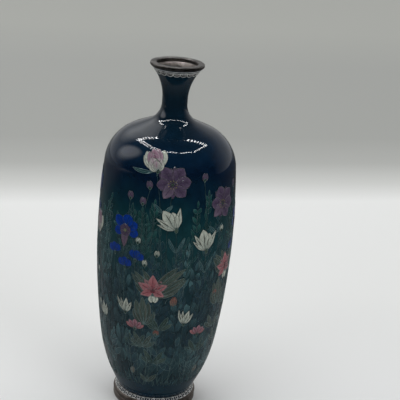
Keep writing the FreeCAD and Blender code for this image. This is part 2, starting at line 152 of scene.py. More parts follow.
def spot(origin, x, y, lift):
    """The point and normal x to the right of and y above an (azimuth in degrees, height) on the vase."""
    length = OUTLINE.length_at(origin[1]) + y
    return on_vase(radians(origin[0]) + x / OUTLINE.at(length)[0], length, lift)


def turns(count):
    """Evenly spaced angles round a circle, in radians."""
    return [2 * pi * number / count for number in range(count)]


# ------------ meshes

def mesh_object(name, points, faces):
    """A new mesh object in the scene."""
    mesh = bpy.data.meshes.new(name)
    mesh.from_pydata(points, [], faces)
    made = bpy.data.objects.new(name, mesh)
    bpy.context.scene.collection.objects.link(made)
    return made


def finish_piece(piece, material, slot, *nodes):
    """Sets a new piece on the vase, with its material, and hides the CAD nodes it replaces; slot is not
    used.
    """
    piece.data.materials.append(material)
    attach(piece, "root")
    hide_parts(*nodes)


class Drawing:
    """Closed little solids on the vase's surface, gathered into one mesh with a painted colour.

    A flush drawing is shaded as if it were ground to the vase's own curve.
    """

    def __init__(self, flush):
        self.flush = flush
        self.points, self.normals, self.paints, self.faces = [], [], [], []

    def loft(self, rows, closed=False):
        """Joins rows of (point, normal, colour) into a tube with capped ends, or into a closed ring."""
        first, across = len(self.points), len(rows[0])
        for point, normal, colour in sum(rows, []):
            self.points.append(point)
            self.normals.append(normal)
            self.paints.append(colour)
        spans = len(rows) if closed else len(rows) - 1
        for row in range(spans):
            here, there = first + row * across, first + (row + 1) % len(rows) * across
            for column in range(across):
                following = (column + 1) % across
                self.faces.append((here + column, here + following, there + following, there + column))
        if not closed:
            last = first + (len(rows) - 1) * across
            self.faces.append(tuple(first + column for column in reversed(range(across))))
            self.faces.append(tuple(last + column for column in range(across)))

    def build(self, name, material, slot, *nodes):
        """The piece of this drawing, in place of its CAD nodes."""
        piece = mesh_object(name, self.points, self.faces)
        mesh = piece.data
        mesh.polygons.foreach_set("use_smooth", [True] * len(mesh.polygons))
        paint = mesh.color_attributes.new("paint", "FLOAT_COLOR", "POINT")
        paint.data.foreach_set("color", [value for colour in self.paints for value in (*colour, 1.0)])
        mesh.validate()
        if self.flush:
            mesh.normals_split_custom_set_from_vertices([tuple(normal) for normal in self.normals])
        finish_piece(piece, material, slot, *nodes)


def midrib(start, spin, length, bend, steps):
    """(x, y, angle) along a bent line; angles are in degrees from straight up, turning right."""
    x, y = start
    line = [(x, y, radians(spin))]
    for number in range(steps):
        middle = radians(spin + bend * (number + 0.5) / steps)
        x += sin(middle) * length / steps
        y += cos(middle) * length / steps
        line.append((x, y, radians(spin + bend * (number + 1) / steps)))
    return line


# Half widths along a petal or leaf, from its root at 0 to its tip at 1, as shares of the widest.
FORMS = {
    "leaf": lambda t: (4 * t * (1 - t)) ** 0.85,
    "petal": lambda t: sin(pi * t ** 1.25) ** 0.75,
    "pointed": lambda t: min(1.0, (t / 0.42) ** 0.6) * min(1.0, (1.0 - t) / 0.55) ** 0.85,
    "lobe": lambda t: min(1.0, (t / 0.55) ** 0.65) * min(1.0, (1.0 - t) / 0.32) ** 0.65,
    "round": lambda t: sin(pi * t ** 1.5) ** 0.6,
    "cup": lambda t: sin(pi * min(1.0, 0.16 + 0.84 * t)) ** 0.7,
    "blade": lambda t: min(1.0, 5 * t + 0.25) * (1 - t) ** 0.7,
    "bud": lambda t: sin(pi * t ** 0.85) ** 0.7,
}
# Millimetres: how far a cell reaches into the ground, its narrowest half width, and the wires' widths.
SKIRT = 0.08
NARROWEST = 0.02
WIRE, LEAF_WIRE, FINE_WIRE = 0.17, 0.12, 0.1
BARE = (1.0, 1.0, 1.0)


def cell(fills, wires, origin, start, spin, length, width, form, root, tip,
         bend=0.0, lift=0.05, rows=9, across=4, wire=WIRE, edge=None):
    """One petal or leaf: a thin enamel fill on the vase, inside a wire fence if wires are given."""
    left, right, strips = [], [], []
    for number, (x, y, angle) in enumerate(midrib(start, spin, length, bend, rows)):
        share = number / rows
        half = max(0.5 * width * FORMS[form](share), NARROWEST)
        side_x, side_y = cos(angle), -sin(angle)
        colour = blend(root, tip, share)
        strip = []
        for column in range(across + 1):
            off = 2 * column / across - 1
            shade = blend(colour, edge or colour, abs(off) ** 2)
            strip.append((*spot(origin, x + side_x * half * off, y + side_y * half * off, lift), shade))
        for off in (1, -1):
            strip.append((*spot(origin, x + side_x * half * off, y + side_y * half * off, -SKIRT), colour))
        strips.append(strip)
        left.append((x - side_x * half, y - side_y * half))
        right.append((x + side_x * half, y + side_y * half))
    fills.loft(strips)
    if wires:
        fence(wires, origin, left + right[::-1], lift, wire, closed=True)


def fence(wires, origin, path, lift, wire=WIRE, closed=False):
    """A flat silver wire on edge along a path of (x, y), its polished top just proud of the enamel."""
    count = len(path)
    rows = []
    for number, (x, y) in enumerate(path):
        before = path[number - 1] if closed or number else path[0]
        after = path[(number + 1) % count] if closed or number < count - 1 else path[-1]
        along = Vector((after[0] - before[0], after[1] - before[1]))
        along = along.normalized() if along.length > 1e-6 else Vector((0, 1))
        side = Vector((along.y, -along.x)) * wire / 2
        rows.append([
            (*spot(origin, x - side.x, y - side.y, lift), BARE),
            (*spot(origin, x, y, lift + 0.25 * wire), BARE),
            (*spot(origin, x + side.x, y + side.y, lift), BARE),
            (*spot(origin, x, y, -SKIRT), BARE),
        ])
    wires.loft(rows, closed)


def wire_line(wires, origin, start, spin, length, bend, lift, wire=WIRE, steps=8):
    """A single bent wire, such as a stem or a stamen."""
    line = midrib(start, spin, length, bend, steps)
    fence(wires, origin, [point[:2] for point in line], lift, wire)
    return line


def bead(fills, origin, x, y, radius, lift, colour, sides=10):
    """A small round spot of enamel."""
    rows = []
    for reach, height in ((0.02, lift + 0.03), (0.6, lift + 0.02), (1.0, lift), (1.0, -SKIRT)):
        far = radius * reach
        row = [(*spot(origin, x + cos(turn) * far, y + sin(turn) * far, height), colour)
               for turn in turns(sides)]
        rows.append(row[::-1])
    fills.loft(rows)


# ------------ materials

class Look:
    """The shader nodes of a material or a world, with the steps that several of them share."""

    def __init__(self, owner, shader="Principled BSDF"):
        owner.use_nodes = True
        self.owner, self.nodes, self.links = owner, owner.node_tree.nodes, owner.node_tree.links
        self.shader = self.nodes[shader]

    def add(self, kind, **settings):
        """A new node; each setting feeds or sets the input of that name, or else sets the property."""
        node = self.nodes.new("ShaderNode" + kind)
        for key, value in settings.items():
            if key in node.inputs:
                self.join(value, node.inputs[key])
            else:
                setattr(node, key, value)
        return node

    def join(self, value, end):
        """Feeds an input from a socket, or sets it to a number or a colour."""
        if isinstance(value, bpy.types.NodeSocket):
            self.links.new(value, end)
        else:
            end.default_value = (*value, 1) if isinstance(value, tuple) else value

    def put(self, key, value):
        """Feeds or sets an input of the main shader."""
        self.join(value, self.shader.inputs[key])

    def place(self, kind="Object"):
        return self.add("TexCoord").outputs[kind]

    def axis(self, source, letter):
        return self.add("SeparateXYZ", Vector=source).outputs[letter]

    def vector(self, operation, source, other=(0, 0, 0)):
        """Vector maths with a fixed vector: SUBTRACT gives a vector, DOT_PRODUCT and LENGTH a number."""
        made = self.add("VectorMath", operation=operation, Vector=source)
        made.inputs[1].default_value = other
        return made.outputs["Vector" if operation == "SUBTRACT" else "Value"]

    def spread(self, source, low, high, start=0.0, end=1.0):
        """The source's range from low to high, stretched to run from start to end."""
        limits = {"From Min": low, "From Max": high, "To Min": start, "To Max": end}
        return self.add("MapRange", Value=source, **limits).outputs["Result"]

    def noise(self, scale, detail=4.0, roughness=0.55):
        """Noise in the object's own space; scale is in cycles a metre."""
        made = self.add("TexNoise", Vector=self.place(), Scale=scale, Detail=detail, Roughness=roughness)
        return made.outputs["Fac"]

    def ramp(self, source, *stops):
        """A colour ramp fed by source; stops are (position, colour or grey)."""
        made = self.add("ValToRGB", Fac=source)
        marks = made.color_ramp.elements
        while len(marks) < len(stops):
            marks.new(0.5)
        for mark, (position, colour) in zip(marks, stops):
            mark.position = position
            mark.color = (*colour, 1) if isinstance(colour, tuple) else (colour, colour, colour, 1)
        return made.outputs["Color"]

    def mix(self, kind, share, one, other):
        """A colour mix; share, one and other are sockets, numbers or colours."""
        made = self.add("Mix", data_type="RGBA", blend_type=kind)
        for index, value in ((0, share), (6, one), (7, other)):
            self.join(value, made.inputs[index])
        return made.outputs[2]

    def bump(self, source, strength, distance):
        made = self.add("Bump", Height=source, Strength=strength, Distance=distance)
        self.put("Normal", made.outputs["Normal"])

    def gloss(self, source, low, high):
        """Roughness between two values, by a noise."""
        self.put("Roughness", self.spread(source, 0.0, 1.0, low, high))

    def polish(self):
        """What the ground top of any enamel shows: faint waves from the stone, pits and a little haze."""
        self.put("Specular IOR Level", 0.4)
        waves = self.noise(180, 2.0)
        pits = self.ramp(self.noise(2600, 2.0), (0.0, 0.0), (0.24, 0.0), (0.3, 1.0), (1.0, 1.0))
        self.bump(self.mix("MULTIPLY", 1.0, waves, pits), 0.05, 0.0001)
        self.gloss(self.noise(420, 3.0), 0.03, 0.09)


def new_look(name):
    """The look of a new material."""
    return Look(bpy.data.materials.new(name))


def ground_enamel():
    """Midnight blue above, going to a deep green-blue behind the garden and back to blue at the foot."""
    look = new_look("midnight_enamel")
    high = look.spread(look.axis(look.place(), "Z"), 0.0, 0.15)
    drift = look.add("Math", operation="MULTIPLY_ADD")
    for index, value in enumerate((look.noise(55, 3.0), 0.15, high)):
        look.join(value, drift.inputs[index])
    deep = look.ramp(
        drift.outputs[0],
        (0.1, (0.003, 0.018, 0.04)),
        (0.15, (0.006, 0.026, 0.042)),
        (0.23, (0.002, 0.017, 0.025)),
        (0.47, (0.002, 0.021, 0.029)),
        (0.58, (0.005, 0.034, 0.041)),
        (0.69, (0.004, 0.031, 0.038)),
        (0.77, (0.0018, 0.014, 0.028)),
        (0.82, (0.0012, 0.008, 0.024)),
        (0.86, (0.003, 0.014, 0.034)),
        (0.93, (0.0035, 0.014, 0.027)),
        (1.0, (0.004, 0.014, 0.024)),
    )
    cloud = look.ramp(look.noise(240, 6.0), (0.3, 0.8), (0.7, 1.2))
    look.put("Base Color", look.mix("MULTIPLY", 1.0, deep, cloud))
    look.polish()
    return look.owner


def picture_enamel():
    """Enamel in the colours painted on the mesh, slightly clouded, with fine grains of the ground glass."""
    look = new_look("picture_enamel")
    paint = look.add("Attribute", attribute_name="paint").outputs["Color"]
    cloud = look.ramp(look.noise(900, 5.0), (0.3, 0.78), (0.7, 1.18))
    grains = look.ramp(look.noise(5200, 2.0), (0.35, 0.86), (0.65, 1.1))
    look.put("Base Color", look.mix("MULTIPLY", 1.0, look.mix("MULTIPLY", 1.0, paint, cloud), grains))
    look.polish()
    return look.owner


def plain_enamel(name, dark, light):
    """A coat of one enamel, inside or underneath, with the mottle of a coat that was never polished."""
    look = new_look(name)
    mottle = look.noise(320, 6.0)
    look.put("Base Color", look.ramp(mottle, (0.3, dark), (0.7, light)))
    look.bump(mottle, 0.25, 0.0004)
    look.gloss(mottle, 0.12, 0.3)
    return look.owner


def aged_metal(name, bright, dull, patina, rough, cover):
    """Handled metal: bright where it is rubbed, dull between, with a dark patina in patches."""
    look = new_look(name)
    look.put("Metallic", 1.0)
    patches = look.noise(260, 6.0, 0.65)
    fine = look.noise(2400, 4.0, 0.6)
    metal = look.mix("MIX", fine, dull, bright)
    stain = look.ramp(patches, (cover - 0.12, 1.0), (cover + 0.14, 0.0))
    stained = look.mix("MIX", stain, metal, patina)
    edges = look.ramp(look.add("NewGeometry").outputs["Pointiness"], (0.5, 0.0), (0.56, 0.8))
    look.put("Base Color", look.mix("MIX", edges, stained, bright))
    look.gloss(patches, *rough)
    look.bump(fine, 0.12, 0.0002)
    return look.owner


def silver_wire(name, dark, light, metal):
    """Wire polished flush with the enamel: silver, a little tarnished along its length."""
    look = new_look(name)
    look.put("Metallic", metal)
    tarnish = look.noise(700)
    look.put("Base Color", look.ramp(tarnish, (0.3, dark), (0.7, light)))
    look.gloss(tarnish, 0.5, 0.3)
    look.bump(look.noise(5000, 2.0), 0.1, 0.0001)
    return look.owner


WIRES = silver_wire("silver_wire", (0.06, 0.07, 0.075), (0.26, 0.28, 0.28), 0.9)
PETAL_WIRES = silver_wire("petal_wire", (0.1, 0.07, 0.08), (0.34, 0.26, 0.28), 0.4)
LEAF_WIRES = silver_wire("leaf_wire", (0.05, 0.11, 0.12), (0.26, 0.37, 0.37), 0.6)
SPRAY_WIRES = silver_wire("spray_wire", (0.022, 0.064, 0.07), (0.13, 0.21, 0.215), 0.6)
DEEP_WIRES = silver_wire("deep_wire", (0.006, 0.022, 0.028), (0.06, 0.1, 0.11), 0.6)
NECK_BORDER_WIRE = silver_wire("neck_border_wire", (0.42, 0.43, 0.43), (0.98, 0.99, 0.96), 0.25)
FOOT_BORDER_WIRE = silver_wire("foot_border_wire", (0.5, 0.52, 0.51), (1.0, 1.0, 0.98), 0.2)
PICTURE = picture_enamel()
GROUND = ground_enamel()


# ------------ enamel colours, linear

WHITE = (0.44, 0.47, 0.41)
WHITE_SHADE = (0.22, 0.27, 0.24)
PINK = (0.26, 0.15, 0.205)
PINK_PALE = (0.33, 0.25, 0.3)
PINK_DARK = (0.13, 0.06, 0.095)
MAUVE = (0.068, 0.048, 0.088)
MAUVE_DARK = (0.046, 0.033, 0.064)
MAUVE_PALE = (0.104, 0.08, 0.126)
MAUVE_PALEST = (0.17, 0.13, 0.175)
BLUE = (0.001, 0.031, 0.24)
BLUE_DEEP = (0.001, 0.02, 0.11)
TUBE = (0.115, 0.085, 0.115)
THROAT = (0.13, 0.14, 0.09)
CORAL = (0.22, 0.04, 0.057)
CORAL_PALE = (0.32, 0.145, 0.155)
CORAL_DARK = (0.105, 0.024, 0.034)
ROSE = (0.33, 0.18, 0.22)
ORANGE = (0.25, 0.08, 0.058)
YELLOW = (0.3, 0.26, 0.1)
ANTHER = (0.03, 0.012, 0.014)
SLIT = (0.035, 0.035, 0.026)
CALYX = (0.035, 0.06, 0.042)
OLIVE = (0.013, 0.032, 0.028)
OLIVE_PALE = (0.056, 0.086, 0.07)
RUST = (0.115, 0.108, 0.092)
DEEP = (0.002, 0.017, 0.024)
TEAL = (0.014, 0.052, 0.061)
TEAL_PALE = (0.056, 0.126, 0.14)
FERN = (0.003, 0.026, 0.029)
FERN_PALE = (0.024, 0.09, 0.086)
SLATE = (0.018, 0.048, 0.076)
LAPPET = (0.03, 0.046, 0.056)
BORDER = (0.012, 0.022, 0.035)


# ------------ flowers

# A place is (azimuth in degrees, height in millimetres, turn in degrees) of a flower. Petals and leaves
# are listed as (angle, length, width, bend). A vein is a fine stroke of enamel along a petal's middle.
VEIN_WIDTH = 0.34
VEIN_REACH = 0.55


class Plant:
    """The fills and the wires of one kind of plant, in place of its CAD pieces or of a like kind's."""

    kinds = []

    def __init__(self, name, metal, like=None):
        self.name, self.metal, self.like = name, metal, like or name
        self.fills = Drawing(flush=True)
        self.wires = Drawing(flush=False)
        self.kinds.append(self)

    def petals(self, place, start, listed, form, root, tip, lift=0.09, edge=None, vein=None):
        """Petals or small leaves from one point, each laid over the one before."""
        for number, (turn, length, width, bend) in enumerate(listed):
            up = lift + 0.006 * number
            spin = turn + place[2]
            cell(self.fills, self.wires, place, start, spin, length, width, form, root, tip,
                 bend=bend, lift=up, rows=10, edge=edge)
            if vein:
                x, y, angle = midrib(start, spin, length, bend, 10)[3]
                cell(self.fills, None, place, (x, y), degrees(angle), length * VEIN_REACH, VEIN_WIDTH,
                     "leaf", vein, vein, bend=bend * 0.6, lift=up + 0.004, rows=6, across=2)

    def build(self):
        self.fills.build(self.name + "_fills", PICTURE, self.like, self.like + "_enamel")
        self.wires.build(self.name + "_outlines", self.metal, "wire", self.like + "_wires")


coral_lilies = Plant("coral_lily", PETAL_WIRES)
clematises = Plant("clematis", WIRES)
bellflowers = Plant("bellflower", DEEP_WIRES)
white_lilies = Plant("white_lily", WIRES)
rose_lilies = Plant("rose_lily", WIRES)
hearts = Plant("flower_heart", WIRES)
buds = Plant("bud", WIRES)
leaves = Plant("leaf", LEAF_WIRES)
undergrowth = Plant("undergrowth", DEEP_WIRES, like="leaf")
sprays = Plant("spray", SPRAY_WIRES, like="leaf")
grasses = Plant("grass", SPRAY_WIRES)
stems = Drawing(flush=False)


def stamens(place, start, count, fan, length, tip_colour):
    """Fine wires from a flower's throat, each with a dark or pale grain at its end."""
    lift = 0.17
    for number in range(count):
        turn = place[2] - fan / 2 + fan * number / (count - 1)
        line = wire_line(hearts.wires, place, start, turn, length, 12, lift, FINE_WIRE, steps=4)
        bead(hearts.fills, place, *line[-1][:2], 0.2, lift, tip_colour, sides=6)


def calyx(place, start, length, width, lift, turn=0, tip=OLIVE):
    """The small green cup under a flower."""
    leaves.petals(place, start, [(turn, length, width, 0)], "bud", CALYX, tip, lift=lift)


def coral_lily(place):
    """A star of broad coral petals, dark-streaked at the heart, over the white backs of two more."""
    under = [(196, 4.4, 3.2, 0), (170, 4.2, 3.2, 0)]
    back = [(-36, 6.0, 3.6, -4), (36, 5.8, 3.6, 4)]
    star = [(-72, 6.8, 4.1, 8), (69, 6.6, 4.1, -8), (-2, 7.0, 4.6, 0),
            (-122, 5.7, 3.9, 10), (122, 5.5, 3.8, -10)]
    white_lilies.petals(place, (0.6, -2.0), under, "petal", WHITE, WHITE, lift=0.085)
    coral_lilies.petals(place, (0, -0.6), back, "pointed", CORAL_DARK, CORAL_PALE, edge=CORAL_PALE,
                        vein=CORAL_DARK)
    coral_lilies.petals(place, (0, -0.4), star, "pointed", CORAL, CORAL_PALE, lift=0.11, edge=CORAL_PALE,
                        vein=CORAL_DARK)
    bead(hearts.fills, place, 0, -0.8, 1.0, 0.15, CORAL_DARK, sides=12)
    stamens(place, (0, -0.8), 6, 150, 2.1, ANTHER)


def clematis(place):
    """Broad mauve petals over pointed ones, and a paler petal, round a tuft of yellow stamens."""
    under = [(0, 7.4, 4.6, 8), (100, 7.0, 4.6, -8), (-58, 7.4, 4.4, 8), (176, 5.8, 4.0, 0)]
    broad = [(26, 7.9, 5.8, 10), (-29, 8.1, 5.4, -10), (76, 7.7, 5.6, 8),
             (126, 7.2, 5.0, 12), (-90, 6.6, 5.0, -12)]
    pale = [(-150, 6.8, 4.6, 0)]
    clematises.petals(place, (0, 0), under, "pointed", MAUVE_DARK, MAUVE, lift=0.075, edge=MAUVE)
    clematises.petals(place, (0, 0), broad, "lobe", MAUVE_DARK, MAUVE, lift=0.1, edge=MAUVE_PALE,
                      vein=MAUVE_DARK)
    clematises.petals(place, (0, 0), pale, "cup", MAUVE_DARK, MAUVE_PALEST, lift=0.135, edge=MAUVE_PALE,
                      vein=MAUVE_DARK)
    bead(hearts.fills, place, 0, 0, 0.6, 0.16, CALYX, sides=12)
    stamens(place, (0, 0), 9, 320, 1.7, YELLOW)


def bellflower(place):
    """A mauve trumpet seen from below its mouth, among loose blue petals."""
    loose = [(-110, 6.0, 4.0, 0), (100, 6.4, 4.2, 0), (58, 6.6, 4.4, 0),
             (-48, 7.2, 4.6, 0), (13, 6.8, 5.2, 0)]
    trumpet = [(183, 8.2, 3.5, -4)]
    collar = [(144 - 72 * number, 2.7, 3.0, 0) for number in range(5)]
    bellflowers.petals(place, (0, 0), loose, "round", BLUE_DEEP, BLUE, edge=BLUE, vein=BLUE_DEEP)
    clematises.petals(place, (0, 0.6), trumpet, "cup", MAUVE, TUBE, lift=0.14, edge=TUBE, vein=MAUVE)
    clematises.petals(place, (0, -0.4), collar, "round", MAUVE_DARK, MAUVE, lift=0.16, edge=MAUVE)
    bead(hearts.fills, place, 0, -0.4, 0.7, 0.21, THROAT, sides=12)


def small_blue(place):
    """Three short blue petals that hang over their calyx."""
    fan = [(-46, 4.2, 3.3, 0), (46, 4.2, 3.3, 0), (0, 4.1, 3.3, 0)]
    bellflowers.petals(place, (0, -1.4), fan, "round", BLUE_DEEP, BLUE, edge=BLUE)
    calyx(place, (0, -1.2), 1.7, 1.1, 0.12, turn=180 - place[2])


def white_lily(place):
    """A trumpet seen from the side: broad petals lean left, and one stands apart on the right."""
    claws = [(-84, 8.2, 2.0, 14), (-66, 9.6, 2.9, 8), (8, 9.6, 3.2, -2)]
    broad = [(-12, 7.8, 4.0, -4), (-36, 9.8, 4.6, 0)]
    white_lilies.petals(place, (0, 0), claws, "pointed", WHITE_SHADE, WHITE, edge=WHITE, vein=SLIT)
    white_lilies.petals(place, (0, 0), broad, "lobe", WHITE_SHADE, WHITE, lift=0.11, edge=WHITE, vein=SLIT)
    calyx(place, (0.1, -1.4), 2.6, 1.4, 0.15, turn=-place[2] / 2, tip=OLIVE_PALE)


def star_lily(place):
    """A smaller white lily: two long claws on the left, and two shorter, broader petals."""
    fan = [(-50, 8.0, 1.7, 34), (-30, 6.8, 1.7, 20), (34, 6.2, 2.3, -12), (4, 6.8, 3.2, 0)]
    white_lilies.petals(place, (0, 0), fan, "pointed", WHITE_SHADE, WHITE, edge=WHITE, vein=SLIT)
    calyx(place, (0, -1.0), 1.7, 1.1, 0.15)


def rose_lily(place):
    """A cup that leans left: pink inner petals between long white outer ones, on a green-white throat."""
    outer = [(-60, 8.6, 3.4, 20), (15, 9.2, 4.6, -14), (-43, 9.4, 4.4, 10)]
    inner = [(-5, 9.2, 4.4, -8), (-37, 8.6, 3.8, 8), (-20, 9.4, 4.2, 2)]
    cup = [(5, 5.6, 4.6, -8), (-34, 6.2, 5.0, 8), (-15, 4.6, 4.2, 0)]
    rose_lilies.petals(place, (0, 0), outer, "petal", WHITE_SHADE, WHITE, edge=WHITE, vein=PINK)
    rose_lilies.petals(place, (0, 0.3), inner, "petal", PINK_DARK, PINK, lift=0.12, edge=PINK_PALE,
                       vein=PINK_DARK)
    rose_lilies.petals(place, (0, -0.2), cup, "bud", WHITE_SHADE, PINK_PALE, lift=0.14, edge=WHITE,
                       vein=PINK)
    calyx(place, (0.1, -1.0), 2.0, 1.2, 0.16, turn=6)


def pink_fan(place):
    """A small flower: three pink petals between narrow pale ones that curl outwards."""
    outer = [(-76, 4.8, 1.7, 24), (74, 4.6, 1.7, -24)]
    inner = [(-42, 4.4, 2.0, 4), (42, 4.2, 2.0, -4), (0, 4.3, 2.4, 0)]
    rose_lilies.petals(place, (0, 0), outer, "petal", CORAL_DARK, CORAL_PALE, edge=CORAL_PALE)
    rose_lilies.petals(place, (0, 0), inner, "petal", CORAL_DARK, ROSE, lift=0.11, edge=ROSE,
                       vein=CORAL_DARK)
    calyx(place, (0, -1.2), 1.6, 1.2, 0.15)


def bud(place, length, width, root, tip):
    """A closed bud of two petals on its calyx."""
    pair = [(-13, length, width * 0.8, 6), (13, length, width * 0.8, -6)]
    buds.petals(place, (0, 0), pair, "bud", root, tip)
    calyx(place, (0, -0.4), 1.5, 1.1, 0.13)


# ------------ stems, leaves and grass

STEM_STEPS = 14


def sprig(plant, azimuth, height, length, lean, pairs, leaf, width, root, tip, lift, bend=0.0, spread=36):
    """An upright stem with opposite leaves that get shorter towards its top."""
    origin = (azimuth, height)
    stem = wire_line(plant.wires, origin, (0, 0), lean, length, bend, lift + 0.02, 0.15, STEM_STEPS)
    for number in range(1, pairs + 1):
        share = number / (pairs + 0.6)
        x, y, angle = stem[round(share * STEM_STEPS)]
        reach = leaf * (1.05 - 0.5 * share) * uniform(0.7, 1.25)
        for side in (-1, 1):
            if random() < 0.12:
                continue
            turn = degrees(angle) + side * (spread + uniform(-16, 14))
            light = 1.3 * random() ** 1.3
            cell(plant.fills, plant.wires, origin, (x, y), turn, reach, width * uniform(0.7, 1.3),
                 "leaf", root, blend(root, tip, light), bend=-side * uniform(-6, 44),
                 lift=lift + 0.003 * number, rows=7, across=2, wire=LEAF_WIRE)
    x, y, angle = stem[-1]
    cell(plant.fills, plant.wires, origin, (x, y), degrees(angle), leaf * 0.6, width * 0.8, "leaf",
         root, tip, lift=lift + 0.01, rows=7, across=2, wire=LEAF_WIRE)


def rosette(azimuth, height, listed, root, tip, lift, edge=None):
    """Broad leaves from one point, with a wire along each middle."""
    origin = (azimuth, height)
    for number, (turn, length, width, bend) in enumerate(listed):
        up = lift + 0.006 * number
        far = blend(root, tip, (0.35, 1.0, 0.65)[number % 3])
        cell(leaves.fills, leaves.wires, origin, (0, 0), turn, length, width, "leaf", root, far,
             bend=bend, lift=up, rows=10, wire=0.16, edge=edge and blend(far, edge, 0.6))
        wire_line(leaves.wires, origin, (0, 0), turn, length * 0.9, bend * 0.9, up + 0.012, FINE_WIRE)


def stem_to(top, foot, bend, wire=0.18):
    """A stem from a flower down to a lower place, both (azimuth, height)."""
    middle = OUTLINE.at(OUTLINE.length_at((top[1] + foot[1]) / 2))[0]
    x = radians(top[0] - foot[0]) * middle
    y = OUTLINE.length_at(top[1]) - OUTLINE.length_at(foot[1])
    length = hypot(x, y) * (1 + (bend / 300) ** 2)
    spin = degrees(atan2(x, y)) - bend / 2
    wire_line(stems, foot, (0, 0), spin, length, bend, 0.075, wire, steps=16)


def thicket(plant, count, low, high, shortest, longest, leaf, width, root, tip, lift, pairs):
    """Sprigs all the way round, evenly spread with a little disorder."""
    for number in range(count):
        azimuth = 360 * (number + uniform(-0.35, 0.35)) / count
        tone = uniform(0.0, 1.0)
        sprig(plant, azimuth, uniform(low, high), uniform(shortest, longest),
              uniform(-9, 9), pairs + randrange(-1, 2), leaf * uniform(0.8, 1.2),
              width * uniform(0.85, 1.2), blend(root, SLATE, 0.5 * tone), blend(tip, root, 0.6 * tone),
              lift + uniform(0, 0.012), bend=uniform(-14, 14))


def arching(count, low, high, shortest, longest, width, tip, lift):
    """Long single leaves that rise and bend over, all the way round."""
    for number in range(count):
        azimuth = 360 * (number + uniform(-0.4, 0.4)) / count
        side = choice((-1, 1))
        cell(sprays.fills, sprays.wires, (azimuth, uniform(low, high)), (0, 0),
             side * uniform(4, 24), uniform(shortest, longest), width * uniform(0.8, 1.2),
             "leaf", DEEP, blend(tip, DEEP, uniform(0.0, 0.7)), bend=side * uniform(20, 70),
             lift=lift + uniform(0, 0.01), rows=10, across=2, wire=FINE_WIRE)


# The layers of foliage, the lowest first: how many, the heights of their roots, their lengths and so on.
thicket(undergrowth, 30, 16, 34, 40, 58, 10.0, 2.3, DEEP, TEAL, 0.012, pairs=6)
arching(40, 16, 52, 14, 22, 2.8, SLATE, 0.024)
thicket(undergrowth, 28, 15, 34, 26, 46, 9.5, 2.6, DEEP, TEAL_PALE, 0.036, pairs=5)
thicket(sprays, 34, 40, 56, 24, 38, 7.4, 1.8, DEEP, TEAL_PALE, 0.03, pairs=5)
thicket(leaves, 24, 15, 20, 12, 28, 8.5, 2.2, DEEP, TEAL_PALE, 0.044, pairs=3)
arching(42, 15, 32, 11, 20, 3.6, TEAL_PALE, 0.056)
thicket(sprays, 44, 64, 80, 12, 24, 6.4, 1.5, FERN, FERN_PALE, 0.018, pairs=4)

# Paler sprigs stand free of the thicket here and there.
for azimuth in (-60, -54, -48, 18, 74, 112, 156, 200, 238, 266):
    sprig(leaves, azimuth, uniform(58, 64), uniform(18, 26), uniform(-8, 8), 4, 5.2, 1.0,
          TEAL, TEAL_PALE, 0.062, bend=uniform(-10, 10), spread=28)

GRASS_BLADES = 190
for number in range(GRASS_BLADES):
    azimuth = 360 * (number + uniform(-0.4, 0.4)) / GRASS_BLADES
    cell(grasses.fills, grasses.wires, (azimuth, 14.6 + uniform(-0.5, 0.9)), (0, 0),
         uniform(-22, 22), uniform(3.2, 8.0), uniform(0.35, 0.6), "blade", DEEP, TEAL_PALE,
         bend=uniform(-24, 24), lift=0.066, rows=5, across=2, wire=FINE_WIRE)

LILY_LEAVES = [
    (-78, 10.0, 2.8, 50), (92, 13.0, 2.8, -50), (-6, 12.5, 2.6, -34), (-52, 13.0, 2.8, 10),
    (-30, 13.0, 2.8, -20), (76, 16.0, 3.0, -30), (22, 17.0, 3.0, 30), (40, 18.5, 3.2, 12),
    (58, 16.0, 3.0, -2),
]
LILY_SKIRT = [
    (-58, 8.5, 2.8, 44), (52, 8.0, 2.6, -40), (-30, 12.0, 3.2, 20), (16, 11.0, 3.0, -16),
    (-8, 13.0, 3.4, 6),
]
STALK_LEAVES = [(-70, 6.5, 1.9, 24), (72, 6.5, 1.9, -26), (-34, 8.0, 2.2, 6), (34, 7.5, 2.0, -8)]
CORAL_LILY_LEAVES = [
    (0, 3, LILY_LEAVES, RUST),
    (-6, 17, LILY_SKIRT, RUST),
    (7, 19, STALK_LEAVES, None),
    (-7, 28, STALK_LEAVES, RUST),
    (4, 36, STALK_LEAVES, None),
]
BROWN_LEAF = [(18, 4.2, 2.2, -20)]
LOW_FAN = [(2, 4.2, 1.3, 4), (-36, 5.2, 1.7, 8), (42, 6.6, 2.0, -8)]
CLEMATIS_LEAVES = [(-58, 5.5, 1.5, 18), (54, 5.0, 1.4, -18)]
LILY_PAIR = [(-38, 7.0, 1.3, 20), (36, 7.5, 1.3, -18)]

# The picture: flowers by place. The first of each kind is on the front.
CORAL_LILIES = [(-6.9, 63.2, 0), (64, 70, -8), (148, 58, 12), (-108, 66, 4)]
CLEMATISES = [(3.4, 108.8, 0), (52, 99, 16), (128, 105, -12), (-142, 97, 20)]
BELLFLOWERS = [(-34.2, 87.2, 0), (84, 88, 12), (168, 88, -8), (-88, 101, 10)]
WHITE_LILIES = [(8.6, 90.0, 0), (36, 80, 24), (105, 76, 4), (-174, 106, 10), (-130, 78, 20)]
STAR_LILIES = [(-31.0, 50.2, 0), (-57, 43.6, -20), (96, 47, 8), (-150, 52, -6), (22, 47, 14)]
ROSE_LILIES = [(-10.2, 113.6, 0), (-74, 80, 22), (-160, 112, 10), (205, 70, 18)]
PINK_FANS = [(-21.3, 43.8, 0), (38, 41, 8), (120, 44, -6), (-112, 42, 4)]
MAUVE_BUDS = [
    (-14.8, 106.3, -14), (-31.5, 100.6, -4), (-20.3, 99.2, 6), (31, 110, 10), (72, 104, -12), (-118, 96, 6),
]
